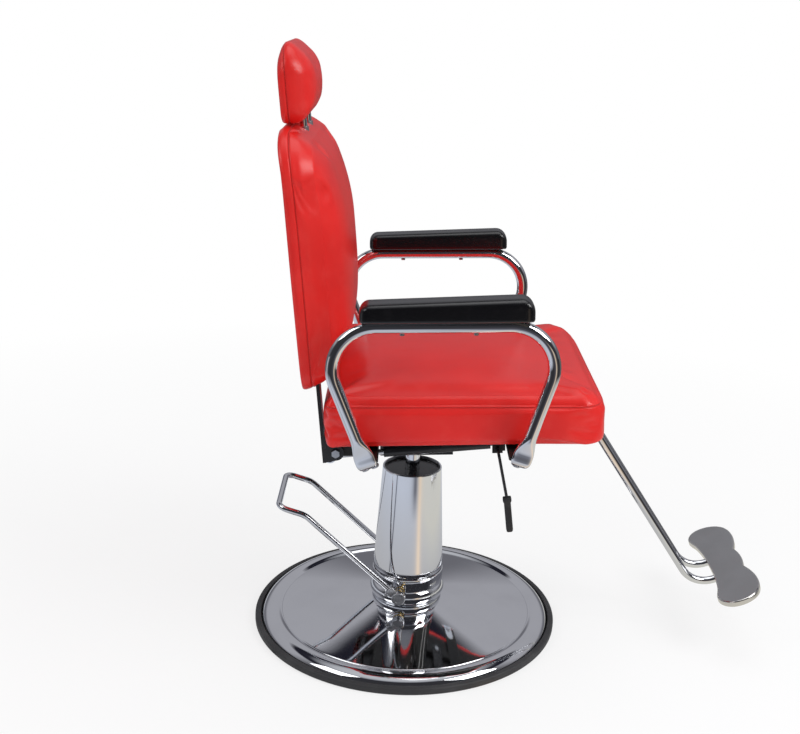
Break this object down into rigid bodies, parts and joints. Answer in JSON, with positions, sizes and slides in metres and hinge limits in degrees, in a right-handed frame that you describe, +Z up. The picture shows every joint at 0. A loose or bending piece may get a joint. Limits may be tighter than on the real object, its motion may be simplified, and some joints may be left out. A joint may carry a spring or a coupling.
{
  "type": "hydraulic barber chair",
  "caption": "Reclining salon chair in red vinyl on a chromed hydraulic pedestal, with pump pedal, open-loop armrests, sliding headrest and angled footrest.",
  "frame": {"origin": "centre of the base on the floor, on the axis of the pump", "axes": "+Z up, the sitter faces -Y, +X to the sitter's left"},
  "size_m": [0.621, 0.9628, 1.0861],
  "materials": {
    "base_rubber": "matt moulded rubber",
    "weight_steel": "black primer",
    "chrome": "bright chrome plate",
    "cast_iron": "machined and blackened",
    "bronze": "turned bronze",
    "spring_steel": "yellow passivated wire",
    "steel": "zinc plated",
    "seal_rubber": "smooth",
    "black_plastic": "fine grain",
    "black_steel": "satin black powder coat",
    "frame_steel": "dark grey-brown paint",
    "plywood": "raw plywood",
    "red_vinyl": "glossy smooth vinyl over foam",
    "pad_vinyl": "satin black moulded foam skin",
    "footplate_metal": "satin grey cast aluminium paint"
  },
  "bodies": {
    "base": {"base_ring": "base_rubber", "base_plate": "weight_steel", "base_cover": "chrome", "pump_housing": "cast_iron", "housing_bolts": "steel", "shaft_bushes": "bronze", "pump_cylinder": "cast_iron", "gland_nut": "steel", "rod_seal": "seal_rubber", "pump_collar": "chrome", "pump_shroud": "chrome", "shroud_cap": "black_plastic", "pedal_spring": "spring_steel"},
    "plunger": {"pump_plunger": "steel"},
    "pedal": {"pedal_shaft": "steel", "pump_cam": "steel", "pedal_clamps": "steel", "pedal_screws": "steel", "pedal_bar": "chrome"},
    "lift": {"piston_head": "cast_iron", "piston_seal": "seal_rubber"},
    "seat": {"piston_rod": "chrome", "seat_mount": "black_steel", "mount_bolts": "steel", "seat_frame": "frame_steel", "seat_board": "plywood", "seat_cushion": "red_vinyl", "arm_tube_left": "chrome", "arm_tube_right": "chrome", "arm_bolts": "steel", "arm_pad_left": "pad_vinyl", "arm_pad_right": "pad_vinyl", "pad_screws": "steel", "footrest_tubes": "chrome", "footrest_clamp": "black_steel", "footrest_plate": "footplate_metal", "footrest_bolts": "steel", "spring_pin": "steel"},
    "gas_cylinder": {"gas_cylinder": "black_steel"},
    "gas_rod": {"gas_rod": "chrome"},
    "release": {"release_shaft": "black_steel", "release_rod": "black_steel", "release_grip": "black_plastic"},
    "back": {"torque_tube": "black_steel", "hinge_pins": "chrome", "back_brackets": "black_steel", "back_board": "plywood", "back_panel": "red_vinyl", "bracket_bolts": "steel", "headrest_sleeves": "steel", "back_cushion": "red_vinyl"},
    "headrest": {"headrest_posts": "chrome", "headrest_board": "plywood", "headrest_cushion": "red_vinyl"}
  },
  "joints": [
    {"name": "lift", "type": "slide", "parent": "base", "child": "lift", "axis": [0, 0, 1], "range_m": [-0.045, 0.1]},
    {"name": "swivel", "type": "hinge", "parent": "lift", "child": "seat", "pos_m": [0, 0, 0.3], "axis": [0, 0, 1], "continuous": true},
    {"name": "recline", "type": "hinge", "parent": "seat", "child": "back", "pos_m": [0, 0.13597, 0.4149], "axis": [-1, 0, 0], "range_deg": [0, 50]},
    {"name": "gas_cylinder_pivot", "type": "hinge", "parent": "seat", "child": "gas_cylinder", "pos_m": [-0.13, -0.14927, 0.41784], "axis": [-1, 0, 0], "range_deg": [0, 1]},
    {"name": "gas_rod_slide", "type": "slide", "parent": "gas_cylinder", "child": "gas_rod", "axis": [0, -0.9925, 0.1219], "range_m": [0, 0.032]},
    {"name": "release_lever", "type": "hinge", "parent": "seat", "child": "release", "pos_m": [-0.222, -0.14039, 0.43439], "axis": [1, 0, 0], "range_deg": [0, 12], "stiffness_Nm_per_rad": 0.5, "springref_deg": -11.46},
    {"name": "headrest_slide", "type": "slide", "parent": "back", "child": "headrest", "axis": [0, 0.1045, 0.9945], "range_m": [0, 0.08]},
    {"name": "pump_pedal", "type": "hinge", "parent": "base", "child": "pedal", "pos_m": [0, 0.017, 0.078], "axis": [-1, 0, 0], "range_deg": [0, 25], "stiffness_Nm_per_rad": 4, "springref_deg": -34.38},
    {"name": "plunger_slide", "type": "slide", "parent": "base", "child": "plunger", "axis": [0, 0, 1], "range_m": [0, 0.0098]}
  ],
  "couplings": [
    {"joint": "gas_cylinder_pivot", "follows": "recline", "ratio": 0.007824},
    {"joint": "gas_rod_slide", "follows": "recline", "m_per_rad": 0.03504},
    {"joint": "plunger_slide", "follows": "pump_pedal", "m_per_rad": 0.02183}
  ]
}
